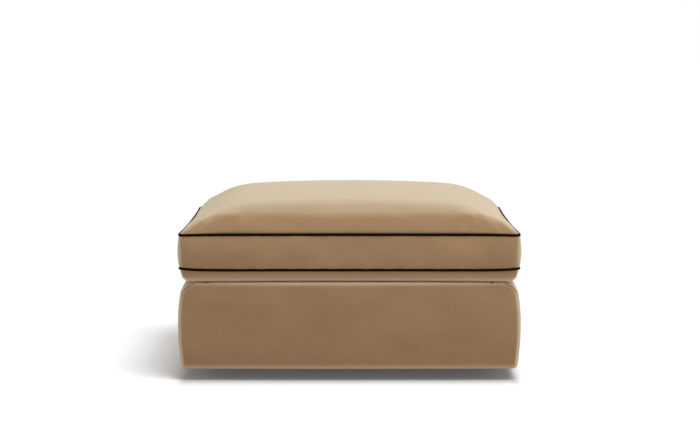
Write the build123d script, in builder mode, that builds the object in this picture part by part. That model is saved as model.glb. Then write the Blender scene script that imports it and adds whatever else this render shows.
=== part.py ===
import os
from math import cos, pi, sin

from build123d import *

# Lengths are in millimetres. +X is the ottoman's right, -Y its front and +Z up.
# The origin is on the floor, under the middle of the ottoman.

# Overall sizes
base_width = 934
base_depth = 654
base_height = 238
floor_gap = 32
cushion_inset_x = 12
cushion_inset_y = 1
boxing_height = 95
crown_height = 108
belly_drop = 33
overrun = 20

# Cloth, and the space that loose soft pieces keep between them
cloth = 1.5
soft_gap = 0.3

# Shape of the upholstered base: its belly, its tucks and its rolled edges
side_top_tuck = 16
side_bottom_tuck = 9
end_top_tuck = 7
end_bottom_tuck = 4
side_bow = 6
end_bow = 5
shoulder_radius = 34
end_roll_radius = 13
roll_spare = 0.05
bottom_roll_radius = 9
corner_radius = 18
belly_height_share = 0.5
panel_margin = 8
panel_return = 16
deck_seam_inset = 75
turn_under = 40

# Stack under the deck cloth
deck_foam_thickness = 20
insulator_thickness = 3
strap_thickness = 1.6
strap_width = 50
long_strap_count = 5
cross_strap_count = 7
strap_flat_margin = 3

# Hardwood frame
frame_inset = 32
frame_end_inset = 25
rail_thickness = 22
rail_height = 60
post_size = 44
batten_width = 70
stretcher_width = 60
board_thickness = 4
foot_setback_x = 137
foot_setback_y = 177

# Glue blocks between the rails and the pieces that meet them
glue_block_leg = 30
glue_block_length = 44

# Feet, their glides and bolts, and the dust cover
foot_top_width = 44
foot_bottom_width = 36
glide_thickness = 4
glide_width = 30
bolt_diameter = 8
bolt_clearance = 0.1
bolt_depth_in_foot = 16
bolt_depth_in_batten = 18
bolt_hole_spare = 1
dust_cover_thickness = 0.8
dust_cover_margin = 22

# Cushion: welts, seams and the way its faces swell
welt_diameter = 7
welt_seat = 4.1
seam_draw = 5
cushion_corner_radius = 24
crown_edge = 200
crown_corner_radius = 120
crown_shoulder_radius = 150
belly_edge = 58
belly_corner_radius = 62
belly_shoulder_radius = 60
swell_in_share = 0.45
crown_up_share = 0.71
belly_up_share = 0.55
corner_spare = 1
crown_corner_steps = 3
belly_corner_steps = 2
welt_sides = 10
boxing_bulge = 6
bulge_root = 8
bulge_flat_share = 0.34

# Zip in the rear boxing
zip_panel_length = 740
zip_window = 11
tape_lap = 12
tape_reach = 12
tape_thickness = 0.6
tape_seat = 0.75
coil_length = 712
coil_width = 2
coil_thickness = 1.4
coil_gap = 1.2
stop_length = 3
slider_length = 11
slider_width = 8.8
slider_plate = 1
slider_inner_plate = 0.8
slider_lip = 0.7
slider_post = 0.8
slider_post_length = 4
slider_clearance = 0.25
bail_leg = 0.9
bail_width = 1.6
bail_reach = 1
pull_bar_diameter = 1.2
pull_bar_clearance = 0.2
pull_arm_gap = 0.4
pull_arm_width = 0.8
pull_length = 20
pull_tab_start = 4
pull_thickness = 1
pull_tip_radius = 1.6
channel_margin = 1
channel_depth_spare = 0.3

# Heights worked out from the sizes above
base_top = floor_gap + base_height
frame_bottom = floor_gap + cloth
deck_foam_bottom = base_top - cloth - deck_foam_thickness
insulator_bottom = deck_foam_bottom - insulator_thickness
frame_top = insulator_bottom - 2 * strap_thickness
lower_seam = base_top + soft_gap + belly_drop
upper_seam = lower_seam + boxing_height
boxing_middle = (lower_seam + upper_seam) / 2

# Size of the cushion, places of the feet, and half sizes of the frame and of the
# boards nailed round it
cushion_width = base_width - 2 * cushion_inset_x
cushion_depth = base_depth - 2 * cushion_inset_y
foot_spacing_x = base_width - 2 * foot_setback_x
foot_spacing_y = base_depth - 2 * foot_setback_y
frame_half_x = base_width / 2 - frame_inset
frame_half_y = base_depth / 2 - frame_end_inset
board_half_x = frame_half_x + board_thickness
board_half_y = frame_half_y + board_thickness
panel_seam_y = base_depth / 2 - panel_return
deck_seam_x = base_width / 2 - deck_seam_inset

os.makedirs("parts", exist_ok=True)


def save(part, name):
    part.label = name
    export_step(part, f"parts/{name}.step")


# Outlines of the padded base, seen from the front, from the side and from above


def front_outline(inset, side_margin=0):
    belly = base_width / 2 - side_margin
    foot = belly - side_bottom_tuck
    shoulder = belly - side_top_tuck
    belly_z = floor_gap + belly_height_share * base_height
    with BuildSketch(Plane.XZ.offset(-base_depth)) as outline:
        with BuildLine():
            Line((-foot, floor_gap), (foot, floor_gap))
            ThreePointArc((foot, floor_gap), (belly, belly_z), (shoulder, base_top))
            Line((shoulder, base_top), (-shoulder, base_top))
            ThreePointArc((-shoulder, base_top), (-belly, belly_z), (-foot, floor_gap))
        make_face()
        fillet(outline.vertices().group_by(Axis.Y)[-1], shoulder_radius)
        fillet(outline.vertices().group_by(Axis.Y)[0], bottom_roll_radius)
        if inset:
            offset(amount=-inset)
    return outline.sketch


def side_outline(inset):
    belly = base_depth / 2
    foot = belly - end_bottom_tuck
    shoulder = belly - end_top_tuck
    belly_z = floor_gap + belly_height_share * base_height
    low = floor_gap - roll_spare
    high = base_top + roll_spare
    with BuildSketch(Plane.YZ.offset(-base_width)) as outline:
        with BuildLine():
            Line((-foot, low), (foot, low))
            ThreePointArc((foot, low), (belly, belly_z), (shoulder, high))
            Line((shoulder, high), (-shoulder, high))
            ThreePointArc((-shoulder, high), (-belly, belly_z), (-foot, low))
        make_face()
        fillet(outline.vertices().group_by(Axis.Y)[-1], end_roll_radius)
        fillet(outline.vertices().group_by(Axis.Y)[0], bottom_roll_radius)
        if inset:
            offset(amount=-inset)
    return outline.sketch


def plan_outline(inset):
    half_x = base_width / 2
    half_y = base_depth / 2
    corner_x = half_x - side_bow
    corner_y = half_y - end_bow
    with BuildSketch(Plane.XY) as outline:
        with BuildLine():
            ThreePointArc((-corner_x, -corner_y), (0, -half_y), (corner_x, -corner_y))
            ThreePointArc((corner_x, -corner_y), (half_x, 0), (corner_x, corner_y))
            ThreePointArc((corner_x, corner_y), (0, half_y), (-corner_x, corner_y))
            ThreePointArc((-corner_x, corner_y), (-half_x, 0), (-corner_x, -corner_y))
        make_face()
        fillet(outline.vertices(), corner_radius)
        if inset:
            offset(amount=-inset)
    return outline.sketch


def base_form(inset):
    with BuildPart() as form:
        extrude(front_outline(inset), amount=2 * base_depth)
        extrude(side_outline(inset), amount=2 * base_width, mode=Mode.INTERSECT)
        extrude(plan_outline(inset), amount=base_top + overrun, mode=Mode.INTERSECT)
    return form.part


cover_form = base_form(0)
padded_form = base_form(cloth)

# Shell of cloth all round the base, open underneath inside its turned-under hem

hem_half_x = base_width / 2 - turn_under
hem_half_y = base_depth / 2 - turn_under
with BuildPart() as cover_shell:
    add(cover_form)
    add(padded_form, mode=Mode.SUBTRACT)
    with BuildSketch(Plane.XY):
        Rectangle(2 * hem_half_x, 2 * hem_half_y)
    extrude(amount=frame_bottom + overrun, mode=Mode.SUBTRACT)

# Space that the front and rear panels take out of the shell

with BuildPart() as end_panel_space:
    extrude(front_outline(0, panel_margin), amount=2 * base_depth)
    with BuildSketch(Plane.XY):
        Rectangle(2 * base_width, 2 * panel_seam_y)
    extrude(amount=base_top + overrun, mode=Mode.SUBTRACT)

# Front and rear covers, each a face panel with its rolled edges and its hem

for name, side in (("front", -1), ("rear", 1)):
    with BuildPart() as end_cover:
        with BuildSketch(Plane.XY):
            with Locations((0, side * base_depth)):
                Rectangle(2 * base_width, 2 * base_depth)
        extrude(amount=base_top + overrun)
        add(end_panel_space.part, mode=Mode.INTERSECT)
        with BuildSketch(Plane.XY):
            with Locations((0, side * (panel_seam_y + hem_half_y) / 2)):
                Rectangle(2 * deck_seam_x, panel_seam_y - hem_half_y)
        extrude(amount=frame_bottom)
        add(cover_shell.part, mode=Mode.INTERSECT)
    save(end_cover.part, f"{name}_cover")

# Side covers, each one band from the hem up over the shoulder to the deck seam

for name, side in (("left", -1), ("right", 1)):
    with BuildPart() as side_cover:
        with BuildSketch(Plane.XY):
            with Locations((side * (deck_seam_x + base_width) / 2, 0)):
                Rectangle(base_width - deck_seam_x, 2 * base_depth)
        extrude(amount=base_top + overrun)
        add(end_panel_space.part, mode=Mode.SUBTRACT)
        add(cover_shell.part, mode=Mode.INTERSECT)
    save(side_cover.part, f"{name}_cover")

# Deck cloth under the loose cushion

with BuildPart() as deck_cover:
    with BuildSketch(Plane.XY.offset(deck_foam_bottom)):
        Rectangle(2 * deck_seam_x, 2 * panel_seam_y)
    extrude(amount=deck_foam_thickness + overrun)
    add(cover_shell.part, mode=Mode.INTERSECT)
save(deck_cover.part, "deck_cover")

# Padding on the four walls, and the foam slab that makes the deck

padding_height = deck_foam_bottom - frame_bottom
for name, side in (("front", -1), ("rear", 1)):
    with BuildPart() as end_padding:
        with BuildSketch(Plane.XY.offset(frame_bottom)):
            with Locations((0, side * (board_half_y + base_depth) / 2)):
                Rectangle(2 * base_width, base_depth - board_half_y)
        extrude(amount=padding_height)
        add(padded_form, mode=Mode.INTERSECT)
    save(end_padding.part, f"{name}_padding")

for name, side in (("left", -1), ("right", 1)):
    with BuildPart() as side_padding:
        with BuildSketch(Plane.XY.offset(frame_bottom)):
            with Locations((side * (board_half_x + base_width) / 2, 0)):
                Rectangle(base_width - board_half_x, 2 * board_half_y)
        extrude(amount=padding_height)
        add(padded_form, mode=Mode.INTERSECT)
    save(side_padding.part, f"{name}_padding")

with BuildPart() as deck_foam:
    with BuildSketch(Plane.XY.offset(deck_foam_bottom)):
        Rectangle(2 * base_width, 2 * base_depth)
    extrude(amount=deck_foam_thickness + overrun)
    add(padded_form, mode=Mode.INTERSECT)
save(deck_foam.part, "deck_foam")

# Felt pad between the webbing and the deck foam

with BuildPart() as insulator_pad:
    with BuildSketch(Plane.XY.offset(insulator_bottom)):
        Rectangle(2 * board_half_x, 2 * board_half_y)
    extrude(amount=insulator_thickness)
save(insulator_pad.part, "insulator_pad")

# Webbing, woven over and under: each strap rises where it crosses on top


def strap_profile(plane, reach, pitch, crossings, strap_number):
    flat = strap_width / 2 + strap_flat_margin
    underside = [(-reach, frame_top)]
    if crossings:
        underside.append((-pitch * crossings / 2 - strap_flat_margin, frame_top))
    for crossing in range(crossings):
        middle = pitch * (crossing - (crossings - 1) / 2)
        on_top = (crossing + strap_number) % 2
        level = frame_top + on_top * strap_thickness
        underside.append((middle - flat, level))
        underside.append((middle + flat, level))
    underside.append((pitch * crossings / 2 + strap_flat_margin, frame_top))
    underside.append((reach, frame_top))
    topside = [(along, level + strap_thickness) for along, level in reversed(underside)]
    with BuildSketch(plane) as profile:
        with BuildLine():
            Polyline(*underside, *topside, close=True)
        make_face()
    return profile.sketch


inner_half_x = frame_half_x - rail_thickness
inner_half_y = frame_half_y - rail_thickness
long_pitch = 2 * inner_half_y / long_strap_count
cross_pitch = 2 * inner_half_x / cross_strap_count

with BuildPart() as long_webbing:
    for strap in range(long_strap_count):
        place = long_pitch * (strap - (long_strap_count - 1) / 2)
        plane = Plane.XZ.offset(-place)
        profile = strap_profile(plane, frame_half_x, cross_pitch, cross_strap_count, strap)
        extrude(profile, amount=strap_width / 2, both=True)
save(long_webbing.part, "long_webbing")

with BuildPart() as cross_webbing:
    for strap in range(cross_strap_count):
        place = cross_pitch * (strap - (cross_strap_count - 1) / 2)
        plane = Plane.YZ.offset(place)
        profile = strap_profile(plane, frame_half_y, long_pitch, long_strap_count, strap + 1)
        extrude(profile, amount=strap_width / 2, both=True)
save(cross_webbing.part, "cross_webbing")

# Corner posts, full height between the hem and the webbing

for name, side_x, side_y in (
    ("corner_post_front_left", -1, -1),
    ("corner_post_front_right", 1, -1),
    ("corner_post_rear_left", -1, 1),
    ("corner_post_rear_right", 1, 1),
):
    with BuildPart() as corner_post:
        with BuildSketch(Plane.XY.offset(frame_bottom)):
            post_x = side_x * (frame_half_x - post_size / 2)
            post_y = side_y * (frame_half_y - post_size / 2)
            with Locations((post_x, post_y)):
                Rectangle(post_size, post_size)
        extrude(amount=frame_top - frame_bottom)
    save(corner_post.part, name)

# Rails between the posts: a lower and an upper one on each wall

end_rail_length = 2 * (frame_half_x - post_size)
side_rail_length = 2 * (frame_half_y - post_size)
upper_rail_bottom = frame_top - rail_height
for name, side, bottom in (
    ("lower_front_rail", -1, frame_bottom),
    ("lower_rear_rail", 1, frame_bottom),
    ("upper_front_rail", -1, upper_rail_bottom),
    ("upper_rear_rail", 1, upper_rail_bottom),
):
    with BuildPart() as end_rail:
        with BuildSketch(Plane.XY.offset(bottom)):
            with Locations((0, side * (frame_half_y - rail_thickness / 2))):
                Rectangle(end_rail_length, rail_thickness)
        extrude(amount=rail_height)
    save(end_rail.part, name)

for name, side, bottom in (
    ("lower_left_rail", -1, frame_bottom),
    ("lower_right_rail", 1, frame_bottom),
    ("upper_left_rail", -1, upper_rail_bottom),
    ("upper_right_rail", 1, upper_rail_bottom),
):
    with BuildPart() as side_rail:
        with BuildSketch(Plane.XY.offset(bottom)):
            with Locations((side * (frame_half_x - rail_thickness / 2), 0)):
                Rectangle(rail_thickness, side_rail_length)
        extrude(amount=rail_height)
    save(side_rail.part, name)

# Centre stretcher and the two battens that carry the feet

with BuildPart() as centre_stretcher:
    with BuildSketch(Plane.XY.offset(floor_gap)):
        Rectangle(stretcher_width, 2 * inner_half_y)
    extrude(amount=rail_thickness)
save(centre_stretcher.part, "centre_stretcher")

bolt_hole = bolt_diameter / 2 + bolt_clearance
for name, side in (("left", -1), ("right", 1)):
    with BuildPart() as foot_batten:
        with BuildSketch(Plane.XY.offset(floor_gap)):
            with Locations((side * foot_spacing_x / 2, 0)):
                Rectangle(batten_width, 2 * inner_half_y)
        extrude(amount=rail_thickness)
        with BuildSketch(Plane.XY.offset(floor_gap)):
            with Locations((side * foot_spacing_x / 2, 0)):
                with Locations((0, -foot_spacing_y / 2), (0, foot_spacing_y / 2)):
                    Circle(bolt_hole)
        extrude(amount=bolt_depth_in_batten + bolt_hole_spare, mode=Mode.SUBTRACT)
    save(foot_batten.part, f"{name}_foot_batten")

# Triangular glue blocks on the ends of the battens and the stretcher

block_bottom = floor_gap + rail_thickness
with BuildPart() as glue_blocks:
    for column in (-foot_spacing_x / 2, 0, foot_spacing_x / 2):
        with BuildSketch(Plane.YZ.offset(column)):
            for side in (-1, 1):
                with BuildLine():
                    Polyline(
                        (side * inner_half_y, block_bottom),
                        (side * (inner_half_y - glue_block_leg), block_bottom),
                        (side * inner_half_y, block_bottom + glue_block_leg),
                        close=True,
                    )
                make_face()
        extrude(amount=glue_block_length / 2, both=True)
save(glue_blocks.part, "glue_blocks")

# Boards that close the frame's four walls

for name, side in (("front", -1), ("rear", 1)):
    with BuildPart() as end_board:
        with BuildSketch(Plane.XY.offset(frame_bottom)):
            with Locations((0, side * (frame_half_y + board_thickness / 2))):
                Rectangle(2 * board_half_x, board_thickness)
        extrude(amount=frame_top - frame_bottom)
    save(end_board.part, f"{name}_board")

for name, side in (("left", -1), ("right", 1)):
    with BuildPart() as side_board:
        with BuildSketch(Plane.XY.offset(frame_bottom)):
            with Locations((side * (frame_half_x + board_thickness / 2), 0)):
                Rectangle(board_thickness, 2 * frame_half_y)
        extrude(amount=frame_top - frame_bottom)
    save(side_board.part, f"{name}_board")

# Dust cover stapled under the frame, over the hem

dust_cover_bottom = floor_gap - dust_cover_thickness
with BuildPart() as dust_cover:
    with BuildSketch(Plane.XY.offset(dust_cover_bottom)):
        Rectangle(base_width - 2 * dust_cover_margin, base_depth - 2 * dust_cover_margin)
        with GridLocations(foot_spacing_x, foot_spacing_y, 2, 2):
            RegularPolygon(bolt_diameter, 4, mode=Mode.SUBTRACT)
    extrude(amount=dust_cover_thickness)
save(dust_cover.part, "dust_cover")

# Feet, blocks tapered both ways with a blind hole on top for the bolt


def foot_outline(plane, across, depth):
    top = foot_top_width / 2
    bottom = foot_bottom_width / 2
    with BuildSketch(plane.offset(depth - foot_top_width)) as outline:
        with BuildLine():
            Polyline(
                (across - top, dust_cover_bottom),
                (across - bottom, glide_thickness),
                (across + bottom, glide_thickness),
                (across + top, dust_cover_bottom),
                close=True,
            )
        make_face()
    return outline.sketch


for name, side_x, side_y in (
    ("foot_front_left", -1, -1),
    ("foot_front_right", 1, -1),
    ("foot_rear_left", -1, 1),
    ("foot_rear_right", 1, 1),
):
    foot_x = side_x * foot_spacing_x / 2
    foot_y = side_y * foot_spacing_y / 2
    with BuildPart() as foot:
        extrude(foot_outline(Plane.XZ, foot_x, -foot_y), amount=2 * foot_top_width)
        extrude(
            foot_outline(Plane.YZ, foot_y, foot_x),
            amount=2 * foot_top_width,
            mode=Mode.INTERSECT,
        )
        with BuildSketch(Plane.XY.offset(dust_cover_bottom)):
            with Locations((foot_x, foot_y)):
                Circle(bolt_hole)
        extrude(amount=-bolt_depth_in_foot - bolt_hole_spare, mode=Mode.SUBTRACT)
    save(foot.part, name)

# Nylon glides under the feet

with BuildPart() as foot_glides:
    with BuildSketch(Plane.XY):
        with GridLocations(foot_spacing_x, foot_spacing_y, 2, 2):
            Rectangle(glide_width, glide_width)
    extrude(amount=glide_thickness)
save(foot_glides.part, "foot_glides")

# Foot bolts, threaded at both ends, from each foot up into its batten

bolt_length = bolt_depth_in_foot + dust_cover_thickness + bolt_depth_in_batten
with BuildPart() as foot_bolts:
    with BuildSketch(Plane.XY.offset(dust_cover_bottom - bolt_depth_in_foot)):
        with GridLocations(foot_spacing_x, foot_spacing_y, 2, 2):
            Circle(bolt_diameter / 2)
    extrude(amount=bolt_length)
save(foot_bolts.part, "foot_bolts")

# Plan of the cushion at one height: the front and sides draw in between the corners


def cushion_section(height, inset, corner):
    half_x = cushion_width / 2 - inset
    half_y = cushion_depth / 2 - inset
    with BuildSketch(Plane.XY.offset(height)) as section:
        with BuildLine():
            ThreePointArc((-half_x, -half_y), (0, seam_draw - half_y), (half_x, -half_y))
            ThreePointArc((half_x, -half_y), (half_x - seam_draw, 0), (half_x, half_y))
            Line((half_x, half_y), (-half_x, half_y))
            ThreePointArc((-half_x, half_y), (seam_draw - half_x, 0), (-half_x, -half_y))
        make_face()
        fillet(section.vertices(), corner)
    return section.sketch


# Swelling face of the cushion seen edge on, out to the seam


def swell_outline(plane, reach, edge, up_share, shoulder_radius, seam, rise, spare):
    side = 1 if rise > 0 else -1
    inner = -cushion_width
    start = seam - side * spare
    top = seam + rise + side * spare
    shoulder = reach - edge
    middle = (reach - swell_in_share * edge, start + up_share * (top - start))
    with BuildSketch(plane) as outline:
        with BuildLine():
            Line((inner, start), (reach, start))
            ThreePointArc((reach, start), middle, (shoulder, top))
            Line((shoulder, top), (inner, top))
            Line((inner, top), (inner, start))
        make_face()
        outer_points = outline.vertices().sort_by(Axis.X)[-2:]
        shoulder_point = outer_points.sort_by(Axis.Y)[-1 if rise > 0 else 0]
        fillet(shoulder_point, shoulder_radius)
    return outline.sketch


# Swelling face: flanks turned step by step round the corner cut one quarter, which
# is mirrored and trimmed to the seam line


def swelling(seam, rise, edge, corner_end, corner_steps, up_share, shoulder_radius, skin):
    corner_x = cushion_width / 2 - welt_seat - skin - edge - corner_end
    corner_y = cushion_depth / 2 - welt_seat - skin - edge - corner_end
    corner_start = cushion_corner_radius - skin
    corner_offset = edge + corner_end - corner_start
    low = min(seam, seam + rise) - overrun
    high = max(seam, seam + rise) + overrun
    with BuildPart() as form:
        with BuildSketch(Plane.XY.offset(low)):
            Rectangle(cushion_width, cushion_depth, align=(Align.MIN, Align.MIN))
        extrude(amount=high - low)
        for step in range(corner_steps + 1):
            angle = pi / 2 * step / corner_steps
            outward = Vector(cos(angle), sin(angle), 0)
            along = Vector(sin(angle), -cos(angle), 0)
            origin = Vector(corner_x, corner_y, 0) - along * cushion_width
            plane = Plane(origin=origin, x_dir=outward, z_dir=along)
            reach = corner_offset * (cos(angle) + sin(angle)) + corner_start
            flank_edge = reach - corner_end
            outline = swell_outline(
                plane,
                reach + corner_spare,
                flank_edge,
                up_share,
                shoulder_radius,
                seam,
                rise,
                roll_spare * step,
            )
            extrude(outline, amount=2 * cushion_width, mode=Mode.INTERSECT)
        mirror(about=Plane.YZ)
        mirror(about=Plane.XZ)
        trim = cushion_section(low, welt_seat + skin, corner_start)
        extrude(trim, amount=high - low, mode=Mode.INTERSECT)
    return form.part


def crown_form(skin):
    rise = crown_height - skin
    return swelling(
        upper_seam,
        rise,
        crown_edge,
        crown_corner_radius,
        crown_corner_steps,
        crown_up_share,
        crown_shoulder_radius,
        skin,
    )


def belly_form(skin):
    rise = skin - belly_drop
    return swelling(
        lower_seam,
        rise,
        belly_edge,
        belly_corner_radius,
        belly_corner_steps,
        belly_up_share,
        belly_shoulder_radius,
        skin,
    )


# Middle of the cushion: a block with an outward bulge swept all round it


def boxing_form(skin):
    seam_corner = cushion_corner_radius - skin
    section = cushion_section(boxing_middle, welt_seat + skin, seam_corner)
    seam_line = section.face().outer_wire()
    half = boxing_height / 2
    flat = half * bulge_flat_share
    bulge = welt_seat + boxing_bulge
    with BuildPart() as form:
        extrude(section, amount=half, both=True)
        with BuildSketch(Plane(origin=seam_line @ 0, x_dir=(0, 0, 1), z_dir=seam_line % 0)):
            with BuildLine():
                Polyline(
                    (-half, 0),
                    (-flat, bulge),
                    (flat, bulge),
                    (half, 0),
                    (half, -bulge_root),
                    (-half, -bulge_root),
                    close=True,
                )
            make_face()
        sweep(path=seam_line)
    return form.part


# Fibre wrap over and under the foam, crowned and bellied

fibre_top = crown_form(cloth)
save(fibre_top, "cushion_fibre_top")
fibre_bottom = belly_form(cloth)
save(fibre_bottom, "cushion_fibre_bottom")

# Cloth panels over and under the fibre

with BuildPart() as top_panel:
    add(crown_form(0))
    add(fibre_top, mode=Mode.SUBTRACT)
save(top_panel.part, "cushion_top_panel")

with BuildPart() as bottom_panel:
    add(belly_form(0))
    add(fibre_bottom, mode=Mode.SUBTRACT)
save(bottom_panel.part, "cushion_bottom_panel")

# Depths of the zip, from the rear face of the boxing inwards

rear_face = cushion_depth / 2 + boxing_bulge
tape_outer = rear_face - cloth - tape_seat
tape_inner = tape_outer - tape_thickness
coil_outer = tape_outer + coil_thickness
inner_plate_outer = tape_inner - slider_clearance
inner_plate_inner = inner_plate_outer - slider_inner_plate
channel_floor = inner_plate_inner - channel_depth_spare
outer_plate_inner = coil_outer + slider_clearance
outer_plate_outer = outer_plate_inner + slider_plate
tape_half_length = zip_panel_length / 2 + tape_lap


def rear_slab(x_low, x_high, y_low, y_high, z_low, z_high):
    """Block between two depths at the rear; heights are from the zip's middle."""
    with BuildPart() as slab:
        with BuildSketch(Plane.XZ.offset(-y_low)):
            with BuildLine():
                Polyline(
                    (x_low, boxing_middle + z_low),
                    (x_high, boxing_middle + z_low),
                    (x_high, boxing_middle + z_high),
                    (x_low, boxing_middle + z_high),
                    close=True,
                )
            make_face()
        extrude(amount=y_low - y_high)
    return slab.part


# Foam core, with a channel along the rear that leaves room for the zip

channel_half_length = tape_half_length + channel_margin
channel_half_height = tape_reach + channel_margin
zip_channel = rear_slab(
    -channel_half_length,
    channel_half_length,
    channel_floor,
    rear_face + overrun,
    -channel_half_height,
    channel_half_height,
)
boxing_core = boxing_form(cloth)
with BuildPart() as cushion_core:
    add(boxing_core)
    add(zip_channel, mode=Mode.SUBTRACT)
save(cushion_core.part, "cushion_core")

# Boxing: one strip round the front and sides, and two strips above and below the zip

with BuildPart() as boxing_shell:
    add(boxing_form(0))
    add(boxing_core, mode=Mode.SUBTRACT)

zip_panel_half = zip_panel_length / 2
window_half = zip_window / 2
boxing_half = boxing_height / 2
rear_space = rear_slab(
    -zip_panel_half, zip_panel_half, 0, rear_face + overrun, -boxing_half, boxing_half
)
with BuildPart() as front_boxing:
    add(boxing_shell.part)
    add(rear_space, mode=Mode.SUBTRACT)
save(front_boxing.part, "front_boxing")

for name, low, high in (
    ("rear_boxing_upper", window_half, boxing_half),
    ("rear_boxing_lower", -boxing_half, -window_half),
):
    strip_space = rear_slab(
        -zip_panel_half, zip_panel_half, 0, rear_face + overrun, low, high
    )
    with BuildPart() as rear_boxing:
        add(boxing_shell.part)
        add(strip_space, mode=Mode.INTERSECT)
    save(rear_boxing.part, name)

# Contrast welts, a round cord along each seam

welt_corner = cushion_corner_radius + welt_seat
for name, height in (("lower_welt", lower_seam), ("upper_welt", upper_seam)):
    seam_line = cushion_section(height, 0, welt_corner).face().outer_wire()
    with BuildPart() as welt:
        with BuildSketch(Plane(origin=seam_line @ 0, z_dir=seam_line % 0)):
            RegularPolygon(welt_diameter / 2, welt_sides)
        sweep(path=seam_line)
    save(welt.part, name)

# Zip tapes and the two coils sewn on them

coil_half_length = coil_length / 2
coil_low = coil_gap / 2
coil_high = coil_low + coil_width
for name, low, high in (
    ("upper", coil_low, tape_reach),
    ("lower", -tape_reach, -coil_low),
):
    tape = rear_slab(
        -tape_half_length, tape_half_length, tape_inner, tape_outer, low, high
    )
    save(tape, f"zip_tape_{name}")

for name, low, high in (
    ("upper", coil_low, coil_high),
    ("lower", -coil_high, -coil_low),
):
    coil = rear_slab(
        -coil_half_length, coil_half_length, tape_outer, coil_outer, low, high
    )
    save(coil, f"zip_coil_{name}")

with BuildPart() as zip_stops:
    for start in (-coil_half_length - stop_length, coil_half_length):
        add(
            rear_slab(
                start, start + stop_length, tape_outer, coil_outer, -coil_high, coil_high
            )
        )
save(zip_stops.part, "zip_stops")

# Slider: two plates round the coils, joined by a post that runs between them

slider_x = coil_half_length - slider_length / 2 - slider_clearance
slider_low = slider_x - slider_length / 2
slider_high = slider_x + slider_length / 2
slider_half = slider_width / 2
post_half = slider_post / 2
lip_inner = slider_half - slider_lip
bail_hole = pull_bar_diameter + 2 * pull_bar_clearance
bail_top = outer_plate_outer + bail_hole + bail_reach
bail_half = bail_hole / 2
with BuildPart() as zip_slider:
    add(
        rear_slab(
            slider_low,
            slider_high,
            outer_plate_inner,
            outer_plate_outer,
            -slider_half,
            slider_half,
        )
    )
    fillet(zip_slider.edges().filter_by(Axis.Y), slider_lip)
    add(
        rear_slab(
            slider_low,
            slider_high,
            inner_plate_inner,
            inner_plate_outer,
            -slider_half,
            slider_half,
        )
    )
    add(
        rear_slab(
            slider_x - slider_post_length / 2,
            slider_x + slider_post_length / 2,
            inner_plate_outer,
            outer_plate_inner,
            -post_half,
            post_half,
        )
    )
    for low, high in ((lip_inner, slider_half), (-slider_half, -lip_inner)):
        add(
            rear_slab(
                slider_low + slider_lip,
                slider_high - slider_lip,
                tape_outer + slider_clearance,
                outer_plate_inner,
                low,
                high,
            )
        )
    with BuildSketch(Plane.XY.offset(boxing_middle - bail_width / 2)):
        with BuildLine():
            Polyline(
                (slider_x - bail_half - bail_leg, outer_plate_outer),
                (slider_x - bail_half - bail_leg, bail_top - bail_leg / 2),
                (slider_x - bail_half - bail_leg / 2, bail_top),
                (slider_x + bail_half + bail_leg / 2, bail_top),
                (slider_x + bail_half + bail_leg, bail_top - bail_leg / 2),
                (slider_x + bail_half + bail_leg, outer_plate_outer),
                close=True,
            )
        make_face()
        with Locations((slider_x, outer_plate_outer + bail_hole / 2)):
            Rectangle(bail_hole, bail_hole, mode=Mode.SUBTRACT)
    extrude(amount=bail_width)
save(zip_slider.part, "zip_slider")

# Pull: a bar through the bail, two arms and a rounded tab

pull_axis_y = outer_plate_outer + bail_hole / 2
arm_inner = bail_width / 2 + pull_arm_gap
arm_outer = arm_inner + pull_arm_width
tab_start = slider_x + pull_tab_start
with BuildPart() as zip_pull:
    with BuildSketch(Plane.XY.offset(boxing_middle - arm_outer)):
        with Locations((slider_x, pull_axis_y)):
            Circle(pull_bar_diameter / 2)
    extrude(amount=2 * arm_outer)
    with BuildSketch(Plane.XZ.offset(-pull_axis_y)):
        with BuildLine():
            Polyline(
                (slider_x, boxing_middle - arm_outer),
                (slider_x + pull_length, boxing_middle - arm_outer),
                (slider_x + pull_length, boxing_middle + arm_outer),
                (slider_x, boxing_middle + arm_outer),
                (slider_x, boxing_middle + arm_inner),
                (tab_start, boxing_middle + arm_inner),
                (tab_start, boxing_middle - arm_inner),
                (slider_x, boxing_middle - arm_inner),
                close=True,
            )
        make_face()
    extrude(amount=pull_thickness / 2, both=True)
    tip_edges = zip_pull.edges().filter_by(Axis.Y).group_by(Axis.X)[-1]
    fillet(tip_edges, pull_tip_radius)
save(zip_pull.part, "zip_pull")
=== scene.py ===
"""Upholstered ottoman: a padded velvet base with a loose, crowned, piped box cushion."""

import math

import bpy
from bpy.props import FloatProperty, FloatVectorProperty, PointerProperty
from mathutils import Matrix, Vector


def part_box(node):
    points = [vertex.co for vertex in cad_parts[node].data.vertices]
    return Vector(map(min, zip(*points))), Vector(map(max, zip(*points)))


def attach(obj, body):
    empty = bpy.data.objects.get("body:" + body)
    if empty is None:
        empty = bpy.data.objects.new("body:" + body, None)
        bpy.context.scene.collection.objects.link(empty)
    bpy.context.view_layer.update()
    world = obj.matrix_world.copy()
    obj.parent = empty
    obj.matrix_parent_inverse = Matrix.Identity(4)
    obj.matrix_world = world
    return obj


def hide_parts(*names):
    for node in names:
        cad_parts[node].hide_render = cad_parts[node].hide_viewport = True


bl_info = {
    "name": "Upholstered ottoman",
    "version": (1, 0, 0),
    "blender": (4, 5, 0),
    "location": "View3D > Sidebar > Ottoman",
    "description": "Builds a velvet ottoman with a loose piped cushion",
    "category": "Object",
}

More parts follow.
